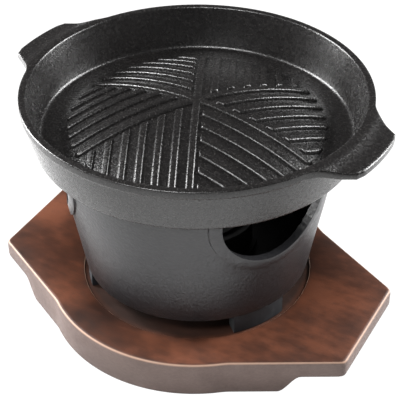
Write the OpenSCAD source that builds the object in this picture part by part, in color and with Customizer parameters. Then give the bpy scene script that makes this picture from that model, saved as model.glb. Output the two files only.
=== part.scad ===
// One-person hibachi: a domed grill pan on a cast stove, over a burner cup, on a wooden board.
// Frame: +Z up, origin on the stove's axis at the board's underside. The board's ears lie along X.

/* [Board] */
// Width of the board around the stove's foot
board_margin = 20; // [16:1:30]
// Thickness of the board
board_t = 22.5; // [16:0.5:28]
// Distance that an ear stands out from the board's round middle
ear_out = 26; // [20:1:36]
// Half the width of an ear's flat end
ear_half = 34; // [26:0.5:40]
// Thickness of an ear, which is relieved below for the fingers
ear_t = 11.5; // [8:0.5:13]
// Depth of the round seat that the stove stands in
seat_depth = 2; // [1:0.5:4]
// Distance of the board's middle from the stove's axis
board_shift = 3.5; // [0:0.5:5]
// Turn of the board about its middle
board_turn = 1.5; // [-5:0.5:5]

/* [Stove] */
// Distance that the pan's rim stands out from the stove's top
rim_over = 16; // [13:0.5:20]
// How much smaller the stove's radius is at its foot
stove_taper = 14; // [8:0.5:18]
// Height of the stove wall alone
wall_h = 81; // [70:1:95]
// Thickness of the cast wall
wall_t = 3.5; // [3:0.5:5]
// Height of the wall's lower edge above the board
foot_h = 11; // [8:1:15]
// Half the width of a window
window_half = 32.5; // [24:0.5:38]
// Depth of a window below its flat top
window_depth = 32.5; // [24:0.5:36]
// Direction of the first window and foot, from the board's ears
stove_turn = -26.5; // [-60:0.5:60]

/* [Pan] */
// Outer radius of the pan's rim
rim_r = 95; // [92:0.5:112]
// Height of the pan from its flat underside to its rim
pan_h = 28; // [24:1:34]
// Thickness of the cast pan
pan_t = 3.5; // [3:0.5:4.5]
// Distance that a handle stands out from the rim
handle_out = 15; // [10:1:22]
// Height of the dome's surface above the gutter's floor
dome_rise = 16; // [12:0.5:18]
// Height of a rib above the dome
rib_h = 1.6; // [1:0.2:2.4]
// Width of a rib
rib_w = 3.4; // [2.4:0.2:4.4]
// Distance between neighbouring ribs
rib_pitch = 8.9; // [8:0.1:11]
// Direction of the pan's handles, from the board's ears
pan_turn = -3.5; // [-30:0.5:30]

/* [Burner] */
// Outer radius of the fuel cup
cup_r = 32; // [26:1:38]
// Height of the fuel cup
cup_h = 22; // [18:1:34]
// Thickness of the burner's sheet metal
sheet_t = 1; // [0.8:0.1:1.5]
// Radius of the rivet that the shutter turns on
rivet_r = 2.5; // [2:0.25:3.5]
// Number of openings in the burner's cover
cover_openings = 3; // [3:1:3]

/* [Hidden] */
$fn = 96;
eps = 0.05;
slide_gap = 0.3;                                // clearance between pieces that lift apart
turn_gap = 0.05;                                // radial clearance of the shutter on its rivet
arc_steps = 30;                                 // flats along each long arc of an outline

// Heights, from the board's underside up
seat_z = board_t - seat_depth;
wall_z = board_t + foot_h;                      // lower edge of the stove wall
stove_top_z = wall_z + wall_h;                  // flat rim that carries the pan
rim_z = stove_top_z + pan_h;

// Radii that follow from the pan's rim, from the top down
handle_reach = rim_r + handle_out;
stove_top_r = rim_r - rim_over;
stove_foot_r = stove_top_r - stove_taper;
board_r = stove_foot_r + board_margin;
ear_reach = board_r + ear_out;

// Board
ear_inset = 1.5;                                // how far an ear's side line cuts inside the round
ear_slope = asin((board_r - ear_inset) / norm([ear_reach, ear_half])) - atan2(ear_half, ear_reach);
ear_fillet = 40;
ear_corner = 4;
ear_ramp = 8;                                   // length of the slope under an ear
edge_round = 1.5;
shoe_t = 2.5;                                   // rubber around and below a cast foot
foot_sweep = 30;                                // angle that a foot's outside covers
shoe_r = stove_foot_r - 1;
seat_r = shoe_r + 2.5;

// Stove
floor_t = 3;
floor_z = wall_z + 3;                           // underside of the stove's floor
window_top = 6;                                 // wall left above a window
border_w = 6;
border_h = 1.2;
window_z = stove_top_z - window_top;
cup_ring_t = 2.5;
cup_ring_h = 4;

// Pan
rim_w = 4;
lip_h = 4;
lip_step = 0.8;
pan_foot_r = rim_r - 6.6;                       // outside of the wall where it meets the underside
pan_floor_z = stove_top_z + pan_t;
floor_edge_r = pan_foot_r - pan_t;
dome_r = floor_edge_r - 11;                     // where the dome meets the gutter
dome_sphere = (dome_r ^ 2 + dome_rise ^ 2) / (2 * dome_rise);
dome_centre_z = pan_floor_z + dome_rise - dome_sphere;
spigot_h = 4;
spigot_w = 3;
// The spigot clears the tapered wall all the way down
spigot_r = stove_top_r - wall_t - stove_taper * spigot_h / wall_h - slide_gap;
spoke_w = 4.4;
rib_end_r = dome_r - 2.5;
handle_half_angle = 11;
handle_slope = 29.4;
handle_fillet = 20;
handle_t = 4.5;
handle_drop = 1.5;                              // a handle's top below the rim

// Burner
cup_z = floor_z + floor_t;
cup_lip = 2.5;
cover_z = cup_z + cup_h;
cover_r = cup_r + cup_lip;
skirt_r = cup_r - sheet_t - slide_gap;          // the cover's lip that drops into the cup
hub_r = rivet_r + 4;
opening_r = skirt_r - 4;
opening_sweep = 52;
shutter_z = cover_z + sheet_t;
shutter_r = opening_r + 2.5;
rivet_head_h = 1.4;
rivet_head_r = rivet_r + 2;
lever_w = 7;
lever_reach = shutter_r + 14;
lever_z = shutter_z + sheet_t;
knob_r = 4;
knob_h = 9;
knob_pin_r = 1.5;

// Points on an arc about a centre, from one angle to another
function arc(centre, r, from, to, n) =
    [for (i = [0:n]) centre + r * [cos(from + (to - from) * i / n), sin(from + (to - from) * i / n)]];

// Centre of the fillet between a circle at the origin and a side line through p, sloping inwards
function fillet_centre(p, slope, round_r, r) =
    let (along = [-cos(slope), sin(slope)],
         off = p + r * [sin(slope), cos(slope)],
         b = along * off,
         s = -b - sqrt(b * b - (off * off - (round_r + r) ^ 2)))
    off + s * along;

// One side of a tab that grows out of a circle: its corner, then the fillet into the circle
function tab_side(end_x, end_y, slope, corner, round_r, r) =
    let (tip = [end_x - corner, end_y - corner * tan(45 - slope / 2)],
         c = fillet_centre(tip + corner * [sin(slope), cos(slope)], slope, round_r, r))
    concat(arc(tip, corner, 0, 90 - slope, 6),
           arc(c, r, 270 - slope, 180 + atan2(c[1], c[0]), 12));

// Angle on the circle where a tab's side ends
function side_end(side) = atan2(side[len(side) - 1][1], side[len(side) - 1][0]);

// Both tabs as one closed outline; steps above 0 follow the circle's arcs between them
function tab_outline(end_x, end_y, slope, corner, round_r, r, steps = 0) =
    let (side = tab_side(end_x, end_y, slope, corner, round_r, r),
         n = len(side),
         a = side_end(side),
         over = arc([0, 0], round_r, a, 180 - a, max(steps, 1)),
         inner = [for (i = [1:1:steps - 1]) over[i]])
    concat(side,
           inner,
           [for (i = [n - 1:-1:0]) [-side[i][0], side[i][1]]],
           [for (p = side) [-p[0], -p[1]]],
           [for (p = inner) [-p[0], -p[1]]],
           [for (i = [n - 1:-1:0]) [side[i][0], -side[i][1]]]);

module sector(r, sweep) {
    polygon(concat([[0, 0]], arc([0, 0], r, -sweep / 2, sweep / 2, 12)));
}

// ---- Board ----
module board_outline(inset = 0) {
    polygon(tab_outline(ear_reach - inset, ear_half - inset, ear_slope, ear_corner, board_r - inset,
        ear_fillet + inset, arc_steps));
}

// What is taken away below an ear, with its slope up to the ear's underside
module ear_relief() {
    relief_z = board_t - ear_t;
    start = board_r - ear_ramp + 2;
    rotate([90, 0, 0])
        linear_extrude(2 * board_r, center = true)
            polygon([[start, -1], [start, 0], [start + ear_ramp, relief_z], [ear_reach + 1, relief_z],
                [ear_reach + 1, -1]]);
}

module wood_board() {
    color("#4a2c20")
        difference() {
            translate([0, -board_shift, 0])
                rotate(board_turn)
                    difference() {
                        union() {
                            linear_extrude(board_t - edge_round) board_outline();
                            linear_extrude(board_t) board_outline(edge_round);
                        }
                        for (side = [0, 180]) rotate(side) ear_relief();
                    }
            translate([0, 0, seat_z]) cylinder(r = seat_r, h = board_t);
        }
}

// ---- Stove ----
// Outside of the stove wall at a height
function wall_r(z) = stove_foot_r + (stove_top_r - stove_foot_r) * (z - wall_z) / wall_h;

module wall_profile(proud = 0) {
    polygon([[stove_foot_r - wall_t, wall_z], [stove_foot_r + proud, wall_z],
        [stove_top_r + proud, stove_top_z], [stove_top_r - wall_t, stove_top_z]]);
}

// Half-moon with a flat top, seen along the radius; grown by a border on its curved side
module window_shape(grow = 0) {
    polygon(concat([[-window_half - grow, 0]],
        [for (a = [180:7.5:360]) [(window_half + grow) * cos(a),
            (window_depth + grow) * sin(a)]]));
}

module window_cut(grow = 0, deep = 30) {
    translate([stove_top_r - deep, 0, window_z])
        rotate([90, 0, 90])
            linear_extrude(deep + 10) window_shape(grow);
}

module window_border() {
    intersection() {
        rotate_extrude() wall_profile(border_h);
        window_cut(border_w);
    }
}

// A short arc of wall that stands below the stove, between two radii
module foot_arc(inner, outer, low, high, sweep) {
    translate([0, 0, low])
        linear_extrude(high - low)
            difference() {
                sector(outer, sweep);
                circle(r = inner);
            }
}

module stove_floor() {
    translate([0, 0, floor_z]) cylinder(r = wall_r(floor_z) - wall_t / 2, h = floor_t);
    translate([0, 0, floor_z + floor_t - eps])
        difference() {
            cylinder(r = cup_r + slide_gap + cup_ring_t, h = cup_ring_h);
            translate([0, 0, -1]) cylinder(r = cup_r + slide_gap, h = cup_ring_h + 2);
        }
}

module stove_body() {
    color("#2b2b2d")
        rotate(stove_turn) {
            difference() {
                union() {
                    rotate_extrude() wall_profile();
                    for (i = [0:2]) rotate(i * 120) window_border();
                }
                for (i = [0:2]) rotate(i * 120) window_cut(0, 40);
            }
            stove_floor();
            for (i = [0:2])
                rotate(i * 120)
                    foot_arc(shoe_r - shoe_t - wall_t, shoe_r - shoe_t, seat_z + shoe_t,
                        floor_z + eps, foot_sweep - 5);
        }
}

// Rubber shoe that a cast foot stands in
module foot_shoe(i) {
    color("#1d1f22")
        rotate(stove_turn + i * 120)
            difference() {
                foot_arc(shoe_r - 2 * shoe_t - wall_t, shoe_r, seat_z, wall_z, foot_sweep);
                foot_arc(shoe_r - shoe_t - wall_t, shoe_r - shoe_t, seat_z + shoe_t, wall_z + 1,
                    foot_sweep - 5);
            }
}

// ---- Pan ----
// Section of the pan without its dome: rim, wall, gutter and the spigot that centres it on the stove
module pan_profile() {
    polygon([[floor_edge_r - 12, stove_top_z], [pan_foot_r - 1.5, stove_top_z],
        [pan_foot_r, stove_top_z + 1.5], [rim_r - lip_step, rim_z - lip_h],
        [rim_r, rim_z - lip_h + 0.5], [rim_r, rim_z - 0.6], [rim_r - 0.6, rim_z],
        [rim_r - rim_w + 0.6, rim_z], [rim_r - rim_w, rim_z - 0.6],
        [floor_edge_r + 1, pan_floor_z + 2], [floor_edge_r - 1, pan_floor_z],
        [floor_edge_r - 12, pan_floor_z]]);
    translate([spigot_r - spigot_w, stove_top_z - spigot_h])
        square([spigot_w, spigot_h + pan_t / 2]);
}

module dome_cap(grow = 0) {
    intersection() {
        translate([0, 0, dome_centre_z]) sphere(r = dome_sphere + grow, $fn = 144);
        translate([0, 0, stove_top_z]) cylinder(r = dome_r + 2, h = pan_h);
    }
}

// Ribs of one sixth of the dome: each starts at one spoke and runs parallel to the next one
module rib_sector() {
    intersection() {
        sector(rib_end_r, 60);
        rotate(30)
            for (k = [1:floor(rib_end_r * sin(60) / rib_pitch)])
                translate([0, -k * rib_pitch - rib_w / 2]) square([rib_end_r, rib_w]);
    }
}

module rib_pattern() {
    for (i = [0:5])
        rotate(i * 60) {
            rotate(30) rib_sector();
            translate([0, -spoke_w / 2]) square([rib_end_r, spoke_w]);
        }
}

module dome() {
    difference() {
        dome_cap();
        translate([0, 0, dome_centre_z]) sphere(r = dome_sphere - pan_t, $fn = 144);
    }
}

module dome_ribs() {
    intersection() {
        difference() {
            dome_cap(rib_h);
            translate([0, 0, dome_centre_z]) sphere(r = dome_sphere - pan_t / 2, $fn = 144);
        }
        translate([0, 0, stove_top_z]) linear_extrude(pan_h) rib_pattern();
    }
}

module pan_handles() {
    corner = 1.5;
    end_x = handle_reach * cos(handle_half_angle / 2);
    translate([0, 0, rim_z - handle_drop - handle_t])
        linear_extrude(handle_t)
            difference() {
                polygon(tab_outline(end_x, handle_reach * sin(handle_half_angle), handle_slope, corner,
                    rim_r, handle_fillet));
                circle(r = rim_r - rim_w / 2);
            }
}

module grill_pan() {
    color("#232324")
        rotate(pan_turn) {
            rotate_extrude($fn = 144) pan_profile();
            dome();
            dome_ribs();
            pan_handles();
        }
}

// ---- Burner ----
module fuel_cup() {
    color("#262626")
        translate([0, 0, cup_z])
            difference() {
                union() {
                    cylinder(r = cup_r, h = cup_h);
                    translate([0, 0, cup_h - sheet_t]) cylinder(r = cup_r + cup_lip, h = sheet_t);
                }
                translate([0, 0, sheet_t]) cylinder(r = cup_r - sheet_t, h = cup_h);
            }
}

// Openings of the cover and of the shutter, between the hub and a rim
module openings(r, h) {
    for (i = [0:cover_openings - 1])
        rotate(i * 360 / cover_openings)
            translate([0, 0, -1])
                linear_extrude(h + 2)
                    difference() {
                        sector(r, opening_sweep);
                        circle(r = hub_r + 2);
                    }
}

module burner_cover() {
    color("#262626")
        rotate(stove_turn)
            difference() {
                union() {
                    translate([0, 0, cover_z]) cylinder(r = cover_r, h = sheet_t);
                    translate([0, 0, cover_z - cup_lip])
                        cylinder(r = skirt_r, h = cup_lip + eps);
                }
                translate([0, 0, cover_z - cup_lip - 1])
                    cylinder(r = skirt_r - sheet_t, h = cup_lip + 1);
                translate([0, 0, cover_z]) openings(opening_r, sheet_t);
                translate([0, 0, cover_z - 1]) cylinder(r = rivet_r, h = sheet_t + 2, $fn = 32);
            }
}

module shutter_disc() {
    color("#2c2c2c")
        translate([0, 0, shutter_z])
            rotate(stove_turn)
                difference() {
                    cylinder(r = shutter_r, h = sheet_t);
                    openings(opening_r, sheet_t);
                    translate([0, 0, -1])
                        cylinder(r = rivet_r + turn_gap, h = sheet_t + 2, $fn = 32);
                }
}

module shutter_rivet() {
    color("silver") {
        translate([0, 0, cover_z - rivet_head_h]) cylinder(r = rivet_head_r, h = rivet_head_h, $fn = 32);
        translate([0, 0, cover_z - eps])
            cylinder(r = rivet_r, h = 2 * sheet_t + 2 * eps + turn_gap, $fn = 32);
        translate([0, 0, shutter_z + sheet_t + turn_gap])
            cylinder(r = rivet_head_r, h = rivet_head_h, $fn = 32);
    }
}

// Strip fixed to the shutter between two openings, with a knob at its end
module shutter_lever() {
    color("#262626")
        rotate(stove_turn + 180 / cover_openings)
            translate([0, 0, lever_z])
                difference() {
                    union() {
                        translate([hub_r + 3, -lever_w / 2, 0])
                            cube([lever_reach - hub_r - 3, lever_w, sheet_t]);
                        translate([lever_reach, 0, 0]) cylinder(r = lever_w / 2, h = sheet_t);
                    }
                    translate([lever_reach, 0, -1]) cylinder(r = knob_pin_r, h = sheet_t + 2, $fn = 32);
                }
}

module lever_knob() {
    color("#1a1a1a")
        rotate(stove_turn + 180 / cover_openings)
            translate([lever_reach, 0, lever_z]) {
                cylinder(r = knob_pin_r, h = sheet_t + eps, $fn = 32);
                translate([0, 0, sheet_t]) cylinder(r = knob_r, h = knob_h - sheet_t, $fn = 48);
            }
}

wood_board();
stove_body();
foot_shoe(0);  // foot_shoe_front
foot_shoe(1);  // foot_shoe_rear
foot_shoe(2);  // foot_shoe_left
grill_pan();
fuel_cup();
burner_cover();
shutter_disc();
shutter_rivet();
shutter_lever();
lever_knob();
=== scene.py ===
"""Studio scene of a one-person hibachi: cast grill pan, cast stove, burner and wooden board.

Everything is in metres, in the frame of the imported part: +Z up, origin under the stove's axis.
"""

import math

import bmesh
import bpy
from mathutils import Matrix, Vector


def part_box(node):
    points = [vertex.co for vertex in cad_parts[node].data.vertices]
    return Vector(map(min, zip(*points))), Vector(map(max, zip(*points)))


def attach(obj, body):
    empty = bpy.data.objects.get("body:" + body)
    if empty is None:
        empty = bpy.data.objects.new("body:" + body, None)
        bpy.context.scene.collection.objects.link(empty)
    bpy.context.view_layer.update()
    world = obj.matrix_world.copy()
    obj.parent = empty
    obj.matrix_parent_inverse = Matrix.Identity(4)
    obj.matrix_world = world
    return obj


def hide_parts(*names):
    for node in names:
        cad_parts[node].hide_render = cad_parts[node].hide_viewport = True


MM = 0.001

# ---- Sizes of the pan. Only the level of its rim, RIM_Z below, comes from the frame ----
RIM_R = 95 * MM                 # outer radius of the rim
RIM_W = 4 * MM                  # flat top of the rim
LIP_H = 4.2 * MM                # height of the outer lip
PAN_H = 28 * MM                 # underside to rim
PAN_T = 3.5 * MM                # cast wall
PAN_FOOT_R = RIM_R - 6.6 * MM
FLOOR_R = PAN_FOOT_R - PAN_T    # where the inner wall meets the gutter
DOME_R = FLOOR_R - 11 * MM
DOME_RISE = 16 * MM
RIB_H = 1.6 * MM
RIB_W = 4.3 * MM
RIB_PITCH = 8.9 * MM
RIB_END_R = DOME_R - 2.5 * MM
RIB_ROUND = 1.3 * MM            # radius of a rib's shoulders
RIB_SINK = 0.5 * MM             # how far a rib's end dips below the dome
RIB_ROOT = 0.8 * MM             # how far a rib's foot lies below the dome
RIB_CAP = 1.4 * MM              # length over which a rib's end rises
RIB_BLUNT = 0.42                # depth of a rib's round end, as a share of its width
SPOKE_W = 4.4 * MM              # width of the ribs that part the sectors
SPOKE_GAP = 3.4 * MM            # from a spoke's middle to the ribs that start beside it
SECTORS = 6
SECTOR_TURN = 2 * math.pi / SECTORS
PAN_TURN = math.radians(-3.5)
HANDLE_END = RIM_R + 15 * MM
HANDLE_HALF = math.radians(11)      # from a handle's middle to where it starts to run out
HANDLE_NECK = math.radians(23.5)    # and to where it has run out into the rim
HANDLE_DROP = 2.4 * MM          # how far a handle slopes down

# ---- Camera, as a place around the pan's rim centre ----
CAMERA_AZIMUTH = math.radians(30)
CAMERA_RISE = math.radians(31.32)
CAMERA_AIM = math.radians(5.377)      # how far below the rim's centre it looks
CAMERA_SIDE = math.radians(0.171)
CAMERA_FAR = 642.7 * MM
LENS = 108

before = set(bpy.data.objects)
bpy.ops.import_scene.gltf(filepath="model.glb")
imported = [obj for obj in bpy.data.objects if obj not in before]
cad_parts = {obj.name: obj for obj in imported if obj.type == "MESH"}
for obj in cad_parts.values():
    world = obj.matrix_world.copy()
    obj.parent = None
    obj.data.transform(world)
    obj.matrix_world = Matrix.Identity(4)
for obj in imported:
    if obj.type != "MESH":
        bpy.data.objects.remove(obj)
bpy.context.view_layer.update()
RIM_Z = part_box("stove_body")[1][2] + PAN_H


# ---- Node materials ----
class Nodes:
    """A node tree with short calls to add and join nodes."""

    def __init__(self, name):
        self.material = bpy.data.materials.new(name)
        self.material.use_nodes = True
        self.tree = self.material.node_tree
        self.tree.nodes.clear()
        self.out = self.tree.nodes.new("ShaderNodeOutputMaterial")
        self.shader = self.tree.nodes.new("ShaderNodeBsdfPrincipled")
        self.join(self.shader.outputs[0], self.out.inputs["Surface"])
        self.place = self.tree.nodes.new("ShaderNodeTexCoord").outputs["Object"]

    def join(self, a, b):
        self.tree.links.new(a, b)

    def add(self, kind, **inputs):
        node = self.tree.nodes.new(kind)
        for key, value in inputs.items():
            socket = node.inputs[key.replace("_", " ")]
            if hasattr(value, "links"):
                self.join(value, socket)
            else:
                socket.default_value = value
        return node

    def noise(self, scale, detail=2.0, roughness=0.5, place=None):
        node = self.add("ShaderNodeTexNoise", Vector=place or self.place, Scale=scale, Detail=detail,
                        Roughness=roughness)
        return node.outputs["Fac"]

    def stretched(self, scale):
        node = self.add("ShaderNodeMapping", Vector=self.place)
        node.inputs["Scale"].default_value = scale
        return node.outputs[0]

    def ramp(self, fac, stops):
        node = self.tree.nodes.new("ShaderNodeValToRGB")
        self.join(fac, node.inputs[0])
        elements = node.color_ramp.elements
        while len(elements) < len(stops):
            elements.new(0.5)
        for element, (at, colour) in zip(elements, stops):
            element.position = at
            element.color = (*colour, 1)
        return node.outputs[0]

    def map(self, fac, low, high, to_low, to_high):
        node = self.tree.nodes.new("ShaderNodeMapRange")
        self.join(fac, node.inputs[0])
        for i, value in enumerate((low, high, to_low, to_high)):
            node.inputs[i + 1].default_value = value
        return node.outputs[0]

    def maths(self, what, a, b):
        node = self.tree.nodes.new("ShaderNodeMath")
        node.operation = what
        for socket, value in zip(node.inputs, (a, b)):
            if hasattr(value, "links"):
                self.join(value, socket)
            else:
                socket.default_value = value
        return node.outputs[0]

    def mix(self, fac, a, b):
        node = self.tree.nodes.new("ShaderNodeMix")
        node.data_type = "RGBA"
        for name, value in (("Factor", fac), ("A", a), ("B", b)):
            socket = [s for s in node.inputs if s.name == name and s.enabled][0]
            if hasattr(value, "links"):
                self.join(value, socket)
            else:
                socket.default_value = value if name == "Factor" else (*value, 1)
        return [s for s in node.outputs if s.enabled][0]

    def bump(self, height, strength, distance, under=None):
        node = self.add("ShaderNodeBump", Height=height, Strength=strength, Distance=distance)
        if under:
            self.join(under, node.inputs["Normal"])
        return node.outputs[0]

    def finish(self, colour, roughness, normal=None, metal=0.0, specular=0.5):
        self.shader.inputs["Metallic"].default_value = metal
        self.shader.inputs["Specular IOR Level"].default_value = specular
        for name, value in (("Base Color", colour), ("Roughness", roughness), ("Normal", normal)):
            socket = self.shader.inputs[name]
            if value is None:
                continue
            if hasattr(value, "links"):
                self.join(value, socket)
            else:
                socket.default_value = (*value, 1) if name == "Base Color" else value
        return self.material


def cast_coating(name, colour, spark, rough, grain, peel_scale=1000):
    """Black sprayed coating on a casting: orange peel, with fine pale flecks."""
    n = Nodes(name)
    fleck = n.noise(1900, 1.0, 0.4)
    flecks = n.map(fleck, 0.64, 0.80, 0.0, 1.0)
    cloud = n.noise(28, 3.0)
    base = n.mix(cloud, [c * 0.8 for c in colour], [c * 1.25 for c in colour])
    base = n.mix(flecks, base, spark)
    peel = n.bump(n.noise(peel_scale, 3.0, 0.6), grain, 0.0004)
    return n.finish(base, n.map(n.noise(500, 2.0), 0.3, 0.7, rough - 0.06, rough + 0.06), peel)


def stained_wood(name):
    """Softwood under a dark brown stain, grain along the ears, paler on the cut sides, with painted
    shade round the stove's seat and a painted highlight on the rounded edges.
    """
    n = Nodes(name)
    along = n.stretched((26, 60, 60))
    grain = n.noise(3.0, 5.0, 0.62, along)
    fibre = n.noise(16.0, 3.0, 0.7, along)
    cloud = n.noise(26, 3.0, 0.55)
    top = n.ramp(n.maths("ADD", n.maths("MULTIPLY", grain, 0.3), n.maths("MULTIPLY", cloud, 0.7)),
                 [(0.36, (0.020, 0.008, 0.005)), (0.5, (0.048, 0.016, 0.008)),
                  (0.62, (0.088, 0.028, 0.013))])
    fleck = n.map(n.noise(420, 2.0), 0.62, 0.8, 0.0, 0.35)
    top = n.mix(fleck, top, (0.03, 0.016, 0.012))
    # Painted shade: the top darkens towards the stove's axis, inside the seat, where the stove shades
    # the board.
    level = n.add("ShaderNodeVectorMath", Vector=n.stretched((1, 1, 0)))
    level.operation = "LENGTH"
    top = n.mix(n.map(level.outputs["Value"], 62 * MM, 69 * MM, 0.8, 0.0), top, (0.008, 0.005, 0.004))
    side = n.ramp(n.maths("ADD", n.maths("MULTIPLY", fibre, 0.3), n.maths("MULTIPLY", cloud, 0.7)),
                  [(0.3, (0.080, 0.056, 0.050)), (0.7, (0.155, 0.115, 0.102))])
    geometry = n.tree.nodes.new("ShaderNodeNewGeometry")
    split = n.tree.nodes.new("ShaderNodeSeparateXYZ")
    n.join(geometry.outputs["Normal"], split.inputs[0])
    upright = n.map(split.outputs["Z"], 0.72, 0.88, 0.0, 1.0)
    # Painted highlight: faces sloping between side and top, on the rounded edge, get a pale colour.
    arris_painted_highlight = n.map(split.outputs["Z"], 0.35, 0.65, 0.0, 1.0)
    colour = n.mix(arris_painted_highlight, side, (0.34, 0.22, 0.16))
    colour = n.mix(upright, colour, top)
    normal = n.bump(fibre, 0.10, 0.0004, n.bump(n.noise(300, 2.0), 0.05, 0.0003))
    return n.finish(colour, n.map(grain, 0.3, 0.7, 0.50, 0.62), normal, specular=0.22)


def sheet_black(name, colour, rough):
    """Heat-proof black paint on thin sheet, a little uneven."""
    n = Nodes(name)
    tone = n.noise(60, 3.0)
    base = n.mix(tone, [c * 0.7 for c in colour], [c * 1.4 for c in colour])
    return n.finish(base, n.map(n.noise(180, 2.0), 0.3, 0.7, rough - 0.08, rough + 0.08),
                    n.bump(n.noise(500, 2.0), 0.08, 0.0003))


def bright_steel(name):
    """Turned steel with fine rings about the axis."""
    n = Nodes(name)
    rings = n.noise(900, 1.0, 0.5, n.stretched((1, 1, 12)))
    return n.finish(n.mix(rings, (0.42, 0.42, 0.40), (0.62, 0.62, 0.60)), n.map(rings, 0, 1, 0.24, 0.4),
                    n.bump(rings, 0.06, 0.0002), metal=1.0)


PAN_COATING = cast_coating("pan_coating", (0.006, 0.0055, 0.0055), (0.09, 0.085, 0.08), 0.27, 0.40)
STOVE_COATING = cast_coating("stove_coating", (0.010, 0.010, 0.0115), (0.03, 0.03, 0.03), 0.34, 0.6, 520)
WOOD = stained_wood("stained_wood")
RUBBER = sheet_black("shoe_rubber", (0.006, 0.007, 0.009), 0.6)
CUP_PAINT = sheet_black("cup_steel", (0.014, 0.014, 0.014), 0.5)
SHUTTER_PAINT = sheet_black("shutter_steel", (0.018, 0.018, 0.018), 0.45)
KNOB_PLASTIC = sheet_black("knob_plastic", (0.01, 0.01, 0.01), 0.4)
RIVET_STEEL = bright_steel("rivet_steel")


def paint(node, material):
    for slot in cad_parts[node].material_slots:
        slot.material = material


# ---- Meshes ----
def mesh_object(name, verts, faces, material, smooth_deg=35):
    mesh = bpy.data.meshes.new(name)
    mesh.from_pydata(verts, [], faces)
    bm = bmesh.new()
    bm.from_mesh(mesh)
    bmesh.ops.remove_doubles(bm, verts=bm.verts, dist=1e-7)
    bmesh.ops.recalc_face_normals(bm, faces=bm.faces)
    bm.to_mesh(mesh)
    bm.free()
    mesh.materials.append(material)
    for face in mesh.polygons:
        face.use_smooth = True
    mesh.set_sharp_from_angle(angle=math.radians(smooth_deg))
    thing = bpy.data.objects.new(name, mesh)
    bpy.context.scene.collection.objects.link(thing)
    return thing


def smooth_step(t):
    t = min(max(t, 0.0), 1.0)
    return t * t * (3 - 2 * t)


# The pan's section, from under the dome's middle out, over the rim and back in to the dome's edge
DOME_SPHERE = (DOME_R ** 2 + DOME_RISE ** 2) / (2 * DOME_RISE)
FLOOR_Z = RIM_Z - PAN_H + PAN_T
DOME_CENTRE_Z = FLOOR_Z + DOME_RISE - DOME_SPHERE
UNDER_Z = RIM_Z - PAN_H


def dome_z(r, grow=0.0):
    return DOME_CENTRE_Z + math.sqrt(max((DOME_SPHERE + grow) ** 2 - r * r, 0.0))


def rounded(points, radius, steps=4):
    """The line with its corners cut by small arcs."""
    line = [points[0]]
    for before, here, after in zip(points, points[1:], points[2:]):
        b, h, a = Vector(before), Vector(here), Vector(after)
        back = b - h
        on = a - h
        cut = min(radius, back.length * 0.45, on.length * 0.45)
        start = h + back.normalized() * cut
        end = h + on.normalized() * cut
        for i in range(steps + 1):
            t = i / steps
            line.append(tuple((1 - t) ** 2 * start + 2 * t * (1 - t) * h + t * t * end))
    line.append(points[-1])
    return line


def handle_reach(angle):
    """How far the handle's edge stands out beyond the rim at an angle from the handle's middle."""
    angle = abs((angle + math.pi / 2) % math.pi - math.pi / 2)
    out = HANDLE_END - RIM_R
    if angle <= HANDLE_HALF:
        return out * (1 - 0.06 * smooth_step((angle / HANDLE_HALF - 0.72) / 0.28))
    t = (angle - HANDLE_HALF) / (HANDLE_NECK - HANDLE_HALF)
    if t >= 1:
        return 0.0
    return out * 0.94 * (1 - t) ** 1.9


PAN_AROUND = 720


def pan_bowl():
    """Wall, rim, gutter, underside and the two handles as one skin of rings."""
    z = RIM_Z
    outer_low = rounded([(DOME_R, UNDER_Z), (PAN_FOOT_R, UNDER_Z), (RIM_R - 0.8 * MM, z - LIP_H)],
                        2.0 * MM, 5)
    rings = []                                  # (radius, height, share of the handle's reach)
    rings += [(r, h, 0.0) for r, h in outer_low[:-1]]
    rings += [(RIM_R - 0.8 * MM, z - LIP_H - 1.2 * MM, 0.0),
              (RIM_R - 0.6 * MM, z - LIP_H - 0.3 * MM, 0.0)]
    for share, drop in ((0.0, LIP_H), (0.3, LIP_H), (0.7, LIP_H), (0.93, LIP_H)):
        rings.append((RIM_R - 0.1 * MM, z - drop, share))
    rings += [(RIM_R, z - LIP_H + 0.5 * MM, 0.985), (RIM_R, z - LIP_H / 2, 1.0),
              (RIM_R, z - 0.6 * MM, 0.99), (RIM_R - 0.15 * MM, z - 0.2 * MM, 0.96)]
    for share in (0.93, 0.7, 0.4, 0.2, 0.08, 0.0):
        rings.append((RIM_R - 0.6 * MM, z, share))
    rings += [(RIM_R - RIM_W + 0.7 * MM, z, 0.0), (RIM_R - RIM_W + 0.2 * MM, z - 0.2 * MM, 0.0),
              (RIM_R - RIM_W, z - 0.8 * MM, 0.0)]
    inner = rounded([(RIM_R - RIM_W, z - 0.8 * MM), (FLOOR_R + 0.4 * MM, FLOOR_Z),
                     (DOME_R + 0.5 * MM, FLOOR_Z), (DOME_R - 3 * MM, dome_z(DOME_R - 3 * MM))],
                    2.4 * MM, 6)
    rings += [(r, h, 0.0) for r, h in inner[1:]]
    verts, faces = [], []
    for r, h, share in rings:
        for i in range(PAN_AROUND):
            angle = 2 * math.pi * i / PAN_AROUND
            reach = handle_reach(angle)
            full = r + reach * share
            slope = HANDLE_DROP * smooth_step(reach * share / (9 * MM))
            verts.append((full * math.cos(angle + PAN_TURN), full * math.sin(angle + PAN_TURN),
                          h - slope))
    for k in range(len(rings) - 1):
        for i in range(PAN_AROUND):
            j = (i + 1) % PAN_AROUND
            faces.append((k * PAN_AROUND + i, k * PAN_AROUND + j, (k + 1) * PAN_AROUND + j,
                          (k + 1) * PAN_AROUND + i))
    return verts, faces, rings[-1]


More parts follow.
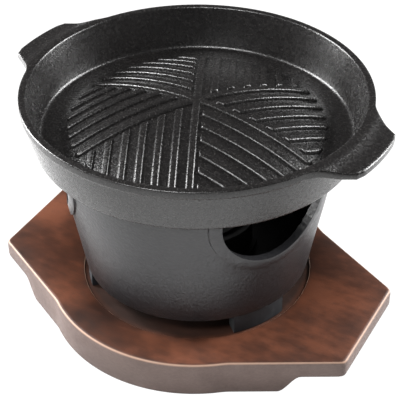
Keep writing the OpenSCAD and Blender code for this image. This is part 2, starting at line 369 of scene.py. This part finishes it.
def dome_skin(edge_r):
    """Plain dome surface above and the hollow below it, closed at its poles."""
    verts, faces = [], []
    n = PAN_AROUND // 4
    top = [edge_r * (1 - i / 24) for i in range(25)]
    low = [(r, dome_z(r, -PAN_T)) for r in top if dome_z(r, -PAN_T) > UNDER_Z + 0.2 * MM]
    low = [(DOME_R, UNDER_Z), (low[0][0] + 0.3 * MM, UNDER_Z)] + low
    for line, upper in (([(r, dome_z(r)) for r in top], True), (low, False)):
        base = len(verts)
        for r, h in line[:-1]:
            for i in range(n):
                a = 2 * math.pi * i / n
                verts.append((r * math.cos(a), r * math.sin(a), h))
        verts.append((0, 0, line[-1][1]))
        for k in range(len(line) - 2):
            for i in range(n):
                j = (i + 1) % n
                faces.append((base + k * n + i, base + k * n + j, base + (k + 1) * n + j,
                              base + (k + 1) * n + i))
        last = base + (len(line) - 2) * n
        for i in range(n):
            faces.append((last + i, last + (i + 1) % n, len(verts) - 1))
    return verts, faces


def rib_height(v, width):
    """Height of a rib above the dome across its width: flat top, well rounded shoulders."""
    edge = width / 2 - abs(v)
    if edge >= RIB_ROUND:
        return RIB_H
    return RIB_H - RIB_ROUND + math.sqrt(max(RIB_ROUND ** 2 - (RIB_ROUND - edge) ** 2, 0.0))


RIB_ACROSS = 13
RIB_ALONG = 44


def one_rib(offset, width, start_gap):
    """A rib parallel to the 60 degree line, starting beside the 0 degree line, as a closed bar."""
    u = Vector((math.cos(SECTOR_TURN), math.sin(SECTOR_TURN)))
    p = Vector((u.y, -u.x))
    verts, faces = [], []
    across = [width * (i / (RIB_ACROSS - 1) - 0.5) for i in range(RIB_ACROSS)]

    def ends(v):
        """Where the rib's line at v across its width starts and ends."""
        d = offset + v
        blunt = (1 - math.sqrt(max(1 - (2 * v / width) ** 2, 0.0))) * width * RIB_BLUNT
        start = (start_gap + d * u.x) / u.y if start_gap else 0.0
        return start, math.sqrt(max(RIB_END_R ** 2 - d * d, 0.0)) - blunt

    for k in range(RIB_ALONG + 1):
        t = 0.5 - 0.5 * math.cos(math.pi * k / RIB_ALONG)
        for v in across:
            start, end = ends(v)
            s = start + (end - start) * t
            near = min(s - start if start_gap else 1.0, end - s) / RIB_CAP
            cap = math.sqrt(max(1 - (1 - min(near, 1.0)) ** 2, 0.0))
            at = s * u + (offset + v) * p
            grow = -RIB_SINK + (rib_height(v, width) + RIB_SINK) * cap
            verts.append((at.x, at.y, dome_z(at.length, grow)))
        for v in (across[-1], across[0]):
            start, end = ends(v)
            at = (start + (end - start) * t) * u + (offset + v) * p
            verts.append((at.x, at.y, dome_z(at.length, -RIB_ROOT)))
    n = RIB_ACROSS + 2
    for k in range(RIB_ALONG):
        for i in range(n):
            j = (i + 1) % n
            faces.append((k * n + i, k * n + j, (k + 1) * n + j, (k + 1) * n + i))
    faces.append(tuple(range(n)))
    faces.append(tuple(RIB_ALONG * n + i for i in reversed(range(n))))
    return verts, faces


def join_parts(parts):
    verts, faces = [], []
    for v, f in parts:
        base = len(verts)
        verts += v
        faces += [tuple(base + i for i in face) for face in f]
    return verts, faces


def rib_sector():
    """The ribs of one sector of the dome, the spoke on its far side included."""
    count = int(RIB_END_R * math.sin(SECTOR_TURN) / RIB_PITCH)
    parts = [one_rib(0.0, SPOKE_W, 0.0)]
    parts += [one_rib(k * RIB_PITCH, RIB_W, SPOKE_GAP) for k in range(1, count + 1)]
    return join_parts(parts)


def repeat_round(name, thing, count, material):
    """Geometry nodes that set copies of a mesh round the upright axis."""
    tree = bpy.data.node_groups.new(name, "GeometryNodeTree")
    face = tree.interface
    face.new_socket("Geometry", in_out="INPUT", socket_type="NodeSocketGeometry")
    number = face.new_socket("Count", in_out="INPUT", socket_type="NodeSocketInt")
    turn = face.new_socket("First turn", in_out="INPUT", socket_type="NodeSocketFloat")
    face.new_socket("Geometry", in_out="OUTPUT", socket_type="NodeSocketGeometry")
    new = tree.nodes.new
    start = new("NodeGroupInput")
    end = new("NodeGroupOutput")
    points = new("GeometryNodePoints")
    place = new("GeometryNodeInstanceOnPoints")
    realise = new("GeometryNodeRealizeInstances")
    index = new("GeometryNodeInputIndex")
    step = new("ShaderNodeMath")
    angle = new("ShaderNodeMath")
    add = new("ShaderNodeMath")
    xyz = new("ShaderNodeCombineXYZ")
    coat = new("GeometryNodeSetMaterial")
    step.operation = "DIVIDE"
    angle.operation = "MULTIPLY"
    add.operation = "ADD"
    step.inputs[0].default_value = 2 * math.pi
    coat.inputs["Material"].default_value = material
    joins = (
        (start.outputs["Count"], points.inputs["Count"]),
        (points.outputs[0], place.inputs["Points"]),
        (start.outputs["Geometry"], place.inputs["Instance"]),
        (start.outputs["Count"], step.inputs[1]),
        (index.outputs[0], angle.inputs[0]),
        (step.outputs[0], angle.inputs[1]),
        (angle.outputs[0], add.inputs[0]),
        (start.outputs["First turn"], add.inputs[1]),
        (add.outputs[0], xyz.inputs["Z"]),
        (xyz.outputs[0], place.inputs["Rotation"]),
        (place.outputs[0], realise.inputs[0]),
        (realise.outputs[0], coat.inputs["Geometry"]),
        (coat.outputs[0], end.inputs[0]),
    )
    for a, b in joins:
        tree.links.new(a, b)
    modifier = thing.modifiers.new(name, "NODES")
    modifier.node_group = tree
    modifier[number.identifier] = count
    modifier[turn.identifier] = PAN_TURN
    bpy.context.view_layer.update()
    shown = thing.evaluated_get(bpy.context.evaluated_depsgraph_get())
    mesh = bpy.data.meshes.new_from_object(shown)
    thing.modifiers.remove(modifier)
    thing.data = mesh
    return thing


def build_pan():
    bowl_verts, bowl_faces, last = pan_bowl()
    bowl = mesh_object("grill_pan_casting",
                       *join_parts([(bowl_verts, bowl_faces), dome_skin(last[0])]), PAN_COATING, 50)
    verts, faces = rib_sector()
    ribs = mesh_object("grill_pan_ribs", verts, faces, PAN_COATING, 60)
    repeat_round("ribs round the dome", ribs, SECTORS, PAN_COATING)
    for piece in (bowl, ribs):
        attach(piece, "pan")
    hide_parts("grill_pan")
    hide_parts("grill_pan")


# ---- Board ----
BOARD_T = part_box("wood_board")[1][2]
BOARD_R = 85 * MM
EAR_REACH = 111 * MM
EAR_HALF = 34 * MM
EAR_CORNER = 4 * MM
EAR_T = 11.5 * MM
EAR_FILLET = 40 * MM
EAR_INSET = 1.5 * MM
BOARD_SHIFT = 3.5 * MM
BOARD_TURN = math.radians(1.5)
SEAT_R = 66.5 * MM
SEAT_DEPTH = 2 * MM
RELIEF_FROM = 79 * MM           # where the finger relief below an ear starts
RELIEF_RUN = 11 * MM            # and how far out it takes to reach its height
BOARD_AROUND = 480


def board_edge():
    """Quarter of the board's outline as (angle, radius) pairs, from an ear's end to its side."""
    to_corner = math.hypot(EAR_REACH, EAR_HALF)
    slope = math.asin((BOARD_R - EAR_INSET) / to_corner) - math.atan2(EAR_HALF, EAR_REACH)
    tip = Vector((EAR_REACH - EAR_CORNER, EAR_HALF - EAR_CORNER * math.tan(math.pi / 4 - slope / 2)))
    normal = Vector((math.sin(slope), math.cos(slope)))
    along = Vector((-math.cos(slope), math.sin(slope)))
    off = tip + EAR_CORNER * normal + EAR_FILLET * normal
    b = along.dot(off)
    centre = off + (-b - math.sqrt(b * b - off.length_squared + (BOARD_R + EAR_FILLET) ** 2)) * along
    points = [Vector((EAR_REACH, tip.y * i / 12)) for i in range(12)]
    for i in range(13):
        a = (math.pi / 2 - slope) * i / 12
        points.append(tip + EAR_CORNER * Vector((math.cos(a), math.sin(a))))
    last = points[-1]
    start = 1.5 * math.pi - slope
    end = math.pi + math.atan2(centre.y, centre.x)
    fillet = [centre + EAR_FILLET * Vector((math.cos(start + (end - start) * i / 16),
                                            math.sin(start + (end - start) * i / 16)))
              for i in range(17)]
    points += [last.lerp(fillet[0], i / 12) for i in range(1, 12)] + fillet
    return [(math.atan2(p.y, p.x), p.length) for p in points]


EDGE = board_edge()


def board_radius(angle):
    a = abs(math.remainder(angle, math.pi))
    for (a0, r0), (a1, r1) in zip(EDGE, EDGE[1:]):
        if a <= a1:
            return r0 + (r1 - r0) * max(a - a0, 0.0) / max(a1 - a0, 1e-9)
    return BOARD_R


def underside(x):
    """Height of the board's underside: flat in the middle, relieved below the ears for fingers."""
    return (BOARD_T - EAR_T) * smooth_step((abs(x) - RELIEF_FROM) / RELIEF_RUN)


def build_board():
    verts, faces = [], []
    angles = [2 * math.pi * i / BOARD_AROUND for i in range(BOARD_AROUND)]
    edge = [board_radius(a) for a in angles]
    rows = []
    for share in [i / 40 for i in range(1, 40)]:
        rows.append([(e * share, None, 0.0) for e in edge])
    for inset, lift in ((2.0, 0.0), (1.0, 0.25), (0.3, 0.9), (0.0, 1.9)):
        rows.append([(e - inset * MM, None, lift * MM) for e in edge])
    for inset, sink in ((0.0, 2.4), (0.25, 1.3), (0.9, 0.45), (1.7, 0.08), (2.4, 0.0)):
        rows.append([(e - inset * MM, BOARD_T - sink * MM, 0.0) for e in edge])
    seat = []
    for a in angles:
        c = -BOARD_SHIFT * math.cos(a + BOARD_TURN - math.pi / 2)
        seat.append(-c + math.sqrt(max(c * c - BOARD_SHIFT ** 2 + SEAT_R ** 2, 0.0)))
    rows.append([(s + 0.5 * MM, BOARD_T, 0.0) for s in seat])
    rows.append([(s, BOARD_T - 0.5 * MM, 0.0) for s in seat])
    rows.append([(s, BOARD_T - SEAT_DEPTH, 0.0) for s in seat])
    rows.append([(s * 0.5, BOARD_T - SEAT_DEPTH, 0.0) for s in seat])
    turn_c = math.cos(BOARD_TURN)
    turn_s = math.sin(BOARD_TURN)

    def place(x, y, z):
        return (x * turn_c - y * turn_s, x * turn_s + y * turn_c - BOARD_SHIFT, z)

    verts.append(place(0, 0, 0))
    for row in rows:
        for a, (r, height, lift) in zip(angles, row):
            x, y = r * math.cos(a), r * math.sin(a)
            verts.append(place(x, y, underside(x) + lift if height is None else height))
    verts.append(place(0, 0, BOARD_T - SEAT_DEPTH))
    n = BOARD_AROUND
    for k in range(len(rows) - 1):
        for i in range(n):
            j = (i + 1) % n
            faces.append((1 + k * n + i, 1 + k * n + j, 1 + (k + 1) * n + j, 1 + (k + 1) * n + i))
    for i in range(n):
        j = (i + 1) % n
        faces.append((0, 1 + j, 1 + i))
        faces.append((len(verts) - 1, 1 + (len(rows) - 1) * n + i, 1 + (len(rows) - 1) * n + j))
    board = mesh_object("wooden_board", verts, faces, WOOD, 50)
    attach(board, "board")
    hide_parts("wood_board")


def soften(node, width):
    """Rounds a CAD node's sharp edges for the light, without touching its mesh."""
    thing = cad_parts[node]
    weld = thing.modifiers.new("weld", "WELD")
    weld.merge_threshold = 1e-6
    bevel = thing.modifiers.new("soft edges", "BEVEL")
    bevel.width = width
    bevel.segments = 3
    bevel.limit_method = "ANGLE"
    bevel.angle_limit = math.radians(38)
    bevel.harden_normals = True


def camera():
    data = bpy.data.cameras.new("camera")
    data.lens = LENS
    data.sensor_width = 36
    data.clip_start = 0.05
    eye = bpy.data.objects.new("camera", data)
    bpy.context.scene.collection.objects.link(eye)
    level = CAMERA_FAR * math.cos(CAMERA_RISE)
    eye.location = (level * math.sin(CAMERA_AZIMUTH), -level * math.cos(CAMERA_AZIMUTH),
                    RIM_Z + CAMERA_FAR * math.sin(CAMERA_RISE))
    down = CAMERA_RISE + CAMERA_AIM
    heading = CAMERA_AZIMUTH - CAMERA_SIDE
    eye.rotation_euler = (math.pi / 2 - down, 0.0, heading)
    bpy.context.scene.camera = eye


def area_light(name, place, aim, size, watts):
    data = bpy.data.lights.new(name, "AREA")
    data.shape = "RECTANGLE"
    data.size, data.size_y = size
    data.energy = watts
    light = bpy.data.objects.new(name, data)
    bpy.context.scene.collection.objects.link(light)
    c = math.cos(CAMERA_AZIMUTH)
    s = math.sin(CAMERA_AZIMUTH)
    x, y, z = place
    light.location = (x * c - y * s, x * s + y * c, z)
    light.rotation_euler = (Vector(aim) - light.location).to_track_quat("-Z", "Y").to_euler()


def soft_boxes():
    """Three soft boxes; places are seen from the camera: x to its right, y away from it."""
    middle = (0, 0, 0.10)
    area_light("left box", (-0.80, 0.30, 0.38), middle, (0.20, 0.9), 34)
    area_light("right box", (0.80, 0.30, 0.36), middle, (0.20, 0.9), 28)
    area_light("front box", (-0.30, -0.62, 0.98), middle, (0.5, 0.3), 15)


def white_world():
    """Dim white light all round, which the camera sees as a white background."""
    world = bpy.data.worlds.new("studio")
    world.use_nodes = True
    tree = world.node_tree
    dim = tree.nodes["Background"]
    dim.inputs["Color"].default_value = (1, 1, 1, 1)
    dim.inputs["Strength"].default_value = 0.09
    path = tree.nodes.new("ShaderNodeLightPath")
    seen = tree.nodes.new("ShaderNodeBackground")
    seen.inputs["Strength"].default_value = 1.05
    seen.inputs["Color"].default_value = (1, 1, 1, 1)
    mix = tree.nodes.new("ShaderNodeMixShader")
    tree.links.new(path.outputs["Is Camera Ray"], mix.inputs[0])
    tree.links.new(dim.outputs[0], mix.inputs[1])
    tree.links.new(seen.outputs[0], mix.inputs[2])
    tree.links.new(mix.outputs[0], tree.nodes["World Output"].inputs[0])
    bpy.context.scene.world = world


def white_floor():
    """A floor that glows near white to the camera and is matt grey to all else."""
    bpy.ops.mesh.primitive_plane_add(size=6)
    floor = bpy.context.object
    floor.name = "floor"
    material = bpy.data.materials.new("floor")
    material.use_nodes = True
    nodes = material.node_tree.nodes
    links = material.node_tree.links
    nodes.clear()
    out = nodes.new("ShaderNodeOutputMaterial")
    both = nodes.new("ShaderNodeMixShader")
    matt = nodes.new("ShaderNodeBsdfDiffuse")
    glow = nodes.new("ShaderNodeEmission")
    matt.inputs["Color"].default_value = (0.6, 0.6, 0.6, 1)
    glow.inputs["Strength"].default_value = 1.1
    share = nodes.new("ShaderNodeLightPath")
    factor = nodes.new("ShaderNodeMath")
    factor.operation = "MULTIPLY"
    factor.inputs[1].default_value = 0.93
    links.new(share.outputs["Is Camera Ray"], factor.inputs[0])
    links.new(factor.outputs[0], both.inputs[0])
    links.new(matt.outputs[0], both.inputs[1])
    links.new(glow.outputs[0], both.inputs[2])
    links.new(both.outputs[0], out.inputs[0])
    floor.data.materials.append(material)


build_pan()
build_board()
paint("stove_body", STOVE_COATING)
soften("stove_body", 0.9 * MM)
for shoe in ("foot_shoe_front", "foot_shoe_rear", "foot_shoe_left"):
    paint(shoe, RUBBER)
    soften(shoe, 0.6 * MM)
for node in ("fuel_cup", "burner_cover"):
    paint(node, CUP_PAINT)
for node in ("shutter_disc", "shutter_lever"):
    paint(node, SHUTTER_PAINT)
paint("shutter_rivet", RIVET_STEEL)
paint("lever_knob", KNOB_PLASTIC)
soften("lever_knob", 0.8 * MM)
camera()
soft_boxes()
white_world()
white_floor()
bpy.context.scene.view_settings.view_transform = "Standard"
